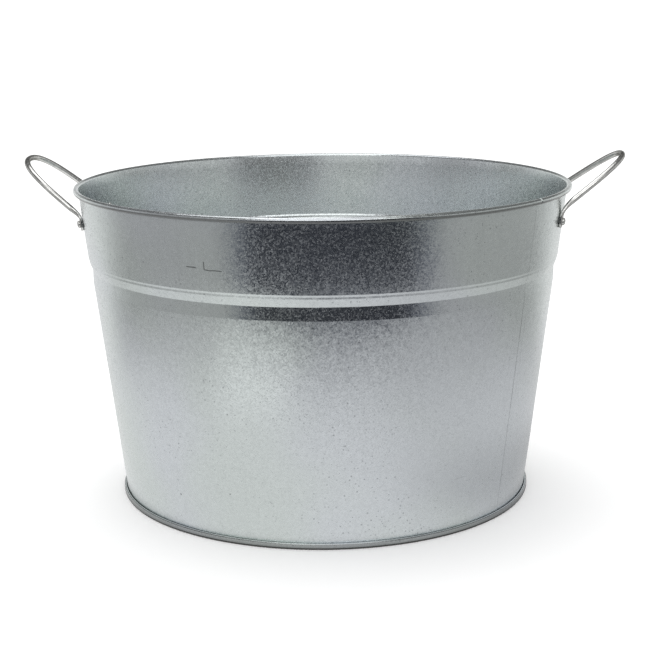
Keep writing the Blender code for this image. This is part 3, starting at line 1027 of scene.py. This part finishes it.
def galvanised(name, tone):
    """Zinc coated sheet: a fine spangle of crystals that tilt the gloss, faint streaks and marks."""
    material, graph, place = new_material(name)
    facing = graph.node("NewGeometry").outputs["Normal"]
    crystals = graph.voronoi(place, CRYSTAL_SCALE).outputs["Color"]
    patches = graph.voronoi(place, PATCH_SCALE).outputs["Color"]
    crystal = graph.channels(crystals)
    patch = graph.channels(patches)
    cloud = graph.noise(place, *CLOUD_NOISE)
    streak = graph.noise(graph.vector("MULTIPLY", place, STREAK_STRETCH), *STREAK_NOISE)

    flecks = ((crystal[0], CRYSTAL_SHADE), (patch[1], PATCH_SHADE))
    shade = blend(graph, 0.5, *flecks, (cloud, CLOUD_SHADE), (streak, STREAK_SHADE))
    colour = graph.mix(graph.range(shade, 0.0, 1.0, smooth=False), *tones(tone, TONE_SWING, TONE_SWING))
    hue = graph.mix(graph.range(graph.noise(place, *HUE_NOISE), *HUE_REACH), GREENISH, BLUISH)
    colour = graph.mix(1.0, colour, hue, "MULTIPLY")
    colour = graph.mix(pits(graph, place), colour, PIT_COLOUR)
    colour = graph.mix(wear_marks(graph, place), colour, MARK_COLOUR)
    # Mix in the painted shade under the rim and the darkening of the base seam
    colour = graph.mix(graph.product(painted_rim_shade_and_seam_darkening(graph, place, facing), PAINTED_SHADE_AND_DARKENING_STRENGTH), colour, PAINTED_SHADE_AND_DARKENING_COLOUR)

    rough = graph.product(crystal[1], crystal[1], CRYSTAL_ROUGHNESS)
    rough = graph.math("ADD", ZINC_ROUGHNESS, rough)
    rough = blend(graph, rough, (streak, STREAK_ROUGHNESS), (cloud, CLOUD_ROUGHNESS))

    normal = facing
    for layer, tilt in ((crystals, CRYSTAL_TILT), (patches, PATCH_TILT)):
        lean = graph.vector("SUBTRACT", layer, (0.5, 0.5, 0.5))
        normal = graph.vector("ADD", normal, graph.vector("SCALE", lean, tilt))
    graph.surface("BsdfPrincipled", {
        "Base Color": colour,
        "Metallic": 1.0,
        "Roughness": rough,
        "Normal": graph.vector("NORMALIZE", normal),
    })
    return material


def plated(name, tone, roughness):
    """Bright zinc plating on wire, with fine drawing marks and duller spots."""
    material, graph, place = new_material(name)
    cloud = graph.range(graph.noise(place, *TARNISH_NOISE), *PLATING_REACH)
    dull = graph.noise(place, *DULL_NOISE)
    duller = [roughness + change for change in DULL_ROUGHNESS]
    drawing = graph.noise(place, *DRAWING_NOISE)
    bump = graph.node("Bump", {"Height": drawing, **DRAWING_BUMP})
    graph.surface("BsdfPrincipled", {
        "Base Color": graph.mix(cloud, *tones(tone, *TARNISH_TONES)),
        "Metallic": 1.0,
        "Roughness": graph.range(dull, *PLATING_REACH, *duller),
        "Specular Tint": EDGE_TINT,
        "Normal": bump.outputs["Normal"],
    })
    return material


def compound(name):
    """Dull dark sealing compound."""
    material, graph, place = new_material(name)
    cloud = graph.noise(place, *COMPOUND_NOISE)
    bump = graph.node("Bump", {"Height": cloud, **COMPOUND_BUMP})
    graph.surface("BsdfPrincipled", {
        "Base Color": graph.mix(cloud, *COMPOUND_COLOURS),
        "Roughness": COMPOUND_ROUGHNESS,
        "Normal": bump.outputs["Normal"],
    })
    return material


# Stage

def plane(name, reach, level, material):
    """A flat square stage object, centred on the tub's axis."""
    mesh = bpy.data.meshes.new(name)
    sides = ((-1, -1), (1, -1), (1, 1), (-1, 1))
    corners = [(across * reach, along * reach, level) for across, along in sides]
    mesh.from_pydata(corners, [], [(0, 1, 2, 3)])
    mesh.materials.append(material)
    piece = bpy.data.objects.new(name, mesh)
    bpy.context.scene.collection.objects.link(piece)
    return piece


def add_floor():
    """A plain pale floor that the metal doesn't mirror: the card stands in for it."""
    material, graph, _ = new_material("floor_white")
    graph.surface("BsdfPrincipled", {
        "Base Color": FLOOR_COLOUR,
        "Roughness": 1.0,
        "Specular IOR Level": 0.0,
        "Emission Color": WHITE,
        "Emission Strength": FLOOR_GLOW,
    })
    plane("floor", FLOOR_REACH, 0.0, material).visible_glossy = False


def front_direction():
    """Direction from the tub's axis to the camera, in plan."""
    return Vector((sin(CAMERA_TURN), -cos(CAMERA_TURN), 0.0))


def right_direction():
    """Direction to the camera's right, in plan."""
    return Vector((cos(CAMERA_TURN), sin(CAMERA_TURN), 0.0))


def dot(graph, vector, direction):
    """The share of a vector along a fixed direction."""
    made = graph.node("VectorMath", {0: vector, 1: tuple(direction)}, operation="DOT_PRODUCT")
    return made.outputs["Value"]


def ramp(graph, value, stops):
    """A smooth curve through (position, level) stops."""
    made = graph.node("ValToRGB", {"Fac": value})
    made.color_ramp.interpolation = "EASE"
    elements = made.color_ramp.elements
    while len(elements) < len(stops):
        elements.new(0.5)
    for element, (position, level) in zip(elements, sorted(stops)):
        element.position = position
        element.color = (level, level, level, 1.0)
    return graph.channels(made.outputs["Color"])[0]


def lerp(graph, share, a, b):
    """Mix two values."""
    return graph.math("ADD", graph.product(a, graph.math("SUBTRACT", 1.0, share)), graph.product(b, share))


def heading(graph, ahead, right, turn):
    """How far a direction is from straight ahead plus a turn, as an angle in plan."""
    return graph.math("ABSOLUTE", graph.math("SUBTRACT", graph.math("ARCTAN2", right, ahead), turn))


def card_light(graph, place):
    """Brightness of the card: it ends in front, fades at the sides and is dimmer at the right."""
    ahead = dot(graph, place, front_direction())
    right = dot(graph, place, right_direction())
    away = graph.length(place)
    from_dark = heading(graph, ahead, right, CARD_DARK_HEADING)
    narrower = graph.range(away, *NARROWING, MOST_NARROW, 0.0)
    near_front = graph.range(graph.math("ADD", from_dark, narrower), *CARD_DARK_EDGE, 1.0, 0.0)
    near_back = graph.range(from_dark, *CARD_BACK_EDGE)
    front = ramp(graph, away, FRONT_STOPS)
    side = ramp(graph, away, SIDE_STOPS)
    light = lerp(graph, near_front, side, front)
    light = lerp(graph, near_back, light, BACK_LEVEL)

    dim = 0.0
    for across, fade, amount in DIM_PARTS:
        part = graph.product(graph.range(right, *across, 0.0, amount), graph.range(away, *fade, 1.0, 0.0))
        dim = graph.math("ADD", dim, part)
    contact = graph.range(away, *CONTACT, CONTACT_LEVEL, 1.0)
    light = graph.product(light, graph.math("SUBTRACT", 1.0, dim), contact)

    from_glow = heading(graph, ahead, right, CARD_GLOW_HEADING)
    glow = graph.range(from_glow, *CARD_GLOW_EDGE, GLOW_LEVEL, 0.0)
    glow = graph.product(glow, span(graph, away, *GLOW_REACH, GLOW_FADE))
    return graph.product(light, graph.math("ADD", glow, 1.0))


def add_floor_card():
    """What the metal mirrors of the floor, with bluish shade where it is dark."""
    material, graph, place = new_material("floor_card_white")
    light = card_light(graph, place)
    tint = graph.mix(graph.range(light, 0.04, 0.45), CARD_SHADE_TINT, WHITE)
    graph.surface("Emission", {"Color": tint, "Strength": light})
    card = plane("floor_card", CARD_REACH, -CARD_DROP, material)
    for ray in ("visible_camera", "visible_diffuse", "visible_transmission", "visible_shadow"):
        setattr(card, ray, False)


def softbox_light(graph, direction):
    """A large softbox, high in front and reaching past overhead: 1 inside it, and how bright it is."""
    front = front_direction()
    up = Vector((0.0, 0.0, 1.0))
    facing = dot(graph, direction, front * cos(SOFTBOX_TILT) + up * sin(SOFTBOX_TILT))
    across = graph.math("DIVIDE", dot(graph, direction, right_direction()), facing)
    upward = up * cos(SOFTBOX_TILT) - front * sin(SOFTBOX_TILT)
    along = graph.math("DIVIDE", dot(graph, direction, upward), facing)
    low = graph.math("MAXIMUM", graph.product(along, -1.0), 0.0)
    left = graph.math("ADD", across, graph.product(low, SOFTBOX_LEFT_FLARE))
    right = graph.math("SUBTRACT", across, graph.product(low, SOFTBOX_RIGHT_FLARE))
    inside = graph.product(
        graph.product(graph.range(left, *SOFTBOX_LEFT), graph.range(right, *SOFTBOX_RIGHT, 1.0, 0.0)),
        graph.product(graph.range(along, *SOFTBOX_BOTTOM), graph.range(along, *SOFTBOX_TOP, 1.0, 0.0)),
        graph.math("GREATER_THAN", facing, 0.05),
    )
    level = graph.range(along, *SOFTBOX_FOOT, SOFTBOX_FOOT_LEVEL, 1.0)
    return inside, level


def mirrored_studio(graph, direction):
    """Brightness of the studio that the metal mirrors: a softbox, grey walls and a pale backdrop."""
    height = graph.axes(direction)[2]
    ahead = dot(graph, direction, front_direction())
    right = dot(graph, direction, right_direction())
    from_dark = heading(graph, ahead, right, WALL_DARK_HEADING)
    wall = lerp(graph, graph.range(from_dark, *WALL_DARK_EDGE), DARK_WALL_LEVEL, WALL_LEVEL)
    from_dim = heading(graph, ahead, right, WALL_DIM_HEADING)
    wall = graph.product(wall, graph.range(from_dim, *WALL_DIM_EDGE, DIM_WALL_SHARE, 1.0))
    wall = graph.product(wall, graph.range(height, *WALL_FOOT, WALL_FOOT_SHARE, 1.0))
    behind = graph.range(heading(graph, ahead, right, 0.0), *BACKDROP_EDGE)
    wall = lerp(graph, behind, wall, BACKDROP_LEVEL)
    top = graph.math("ADD", height, graph.product(behind, CEILING_DROP_BEHIND))
    light = lerp(graph, graph.range(top, *CEILING_EDGE), wall, CEILING_LEVEL)
    inside, level = softbox_light(graph, direction)
    return lerp(graph, inside, light, level)


def add_world():
    """White for the floor, and for the metal a studio, brighter to a ray's second bounce."""
    world = bpy.data.worlds.new("studio")
    bpy.context.scene.world = world
    graph = Graph(world)
    direction = graph.node("TexCoord").outputs["Generated"]
    rays = graph.node("LightPath")
    depth = rays.outputs["Glossy Depth"]
    again = graph.product(graph.math("GREATER_THAN", depth, 1.5), SECOND_BOUNCE_LEVEL)
    drop = graph.product(graph.math("GREATER_THAN", depth, 2.5), THIRD_BOUNCE_DROP)
    light = graph.math("MAXIMUM", mirrored_studio(graph, direction), graph.math("SUBTRACT", again, drop))
    ahead = dot(graph, direction, front_direction())
    around = graph.range(ahead, -1.0, 1.0, WORLD_BEHIND, WORLD_IN_FRONT, smooth=False)
    mix = graph.node("MixShader", {"Fac": rays.outputs["Is Glossy Ray"]})
    for index, strength in ((1, around), (2, light)):
        background = graph.node("Background", {"Color": WHITE, "Strength": strength})
        graph.feed(mix.inputs[index], background.outputs[0])
    output = graph.node("OutputWorld")
    graph.feed(output.inputs["Surface"], mix.outputs[0])


def add_light():
    """One wide soft light above and a little behind."""
    data = bpy.data.lights.new("softbox", "AREA")
    data.shape = "RECTANGLE"
    data.size, data.size_y = LAMP_SIZE
    data.energy = LAMP_ENERGY
    light = bpy.data.objects.new("softbox", data)
    light.location = LAMP_PLACE
    light.rotation_euler = (LAMP_AIM - LAMP_PLACE).to_track_quat("-Z", "Y").to_euler()
    bpy.context.scene.collection.objects.link(light)


def add_camera():
    """The camera, in front, a little above the rim and tilted down."""
    data = bpy.data.cameras.new("camera")
    data.lens = CAMERA_LENS
    data.sensor_width = SENSOR_WIDTH
    camera = bpy.data.objects.new("camera", data)
    turn = Matrix.Rotation(CAMERA_TURN, 4, "Z")
    place = turn @ Vector((CAMERA_SIDE, -CAMERA_DISTANCE, CAMERA_HEIGHT))
    aim = Matrix.Rotation(-CAMERA_YAW, 4, "Z") @ Matrix.Rotation(pi / 2 - CAMERA_PITCH, 4, "X")
    camera.matrix_world = Matrix.Translation(place) @ turn @ aim @ Matrix.Rotation(CAMERA_ROLL, 4, "Z")
    bpy.context.scene.collection.objects.link(camera)
    bpy.context.scene.camera = camera


# Assembly

def show(piece, nodes, material):
    """Give a piece its material, attach it to the root body and hide the CAD nodes that it replaces."""
    piece.data.materials.append(material)
    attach(piece, "root")
    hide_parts(*nodes)


def add_pieces():
    """The visible pieces, in place of their CAD nodes."""
    zinc = galvanised("galvanised_sheet", ZINC_TONE)
    wire = plated("plated_wire", WIRE_TONE, 0.18)
    rivet = plated("rivet_steel", RIVET_TONE, 0.26)
    body = body_sheet("body_sheet_fine")
    pan = turned("base_pan_fine", pan_outline(), PAN_SEGMENTS)
    add_thickness(pan)
    show(body, ["body_sheet"], zinc)
    show(pan, ["base_pan"], zinc)
    for side, handle in HANDLES.items():
        show(handle_piece(f"handle_{side}_fine", handle), [f"handle_{side}"], wire)
    for node, piece in rivet_pieces():
        show(piece, [node], rivet)


def finish_hidden_nodes():
    """Materials of the two CAD nodes that stay."""
    for node, material in (
        ("rim_wire", plated("rim_wire_steel", RIM_WIRE_TONE, 0.4)),
        ("seam_sealant", compound("sealing_compound")),
    ):
        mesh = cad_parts[node].data
        mesh.materials.clear()
        mesh.materials.append(material)


add_camera()
add_floor()
add_floor_card()
add_world()
add_light()
add_pieces()
finish_hidden_nodes()
bpy.context.scene.view_settings.view_transform = "Standard"
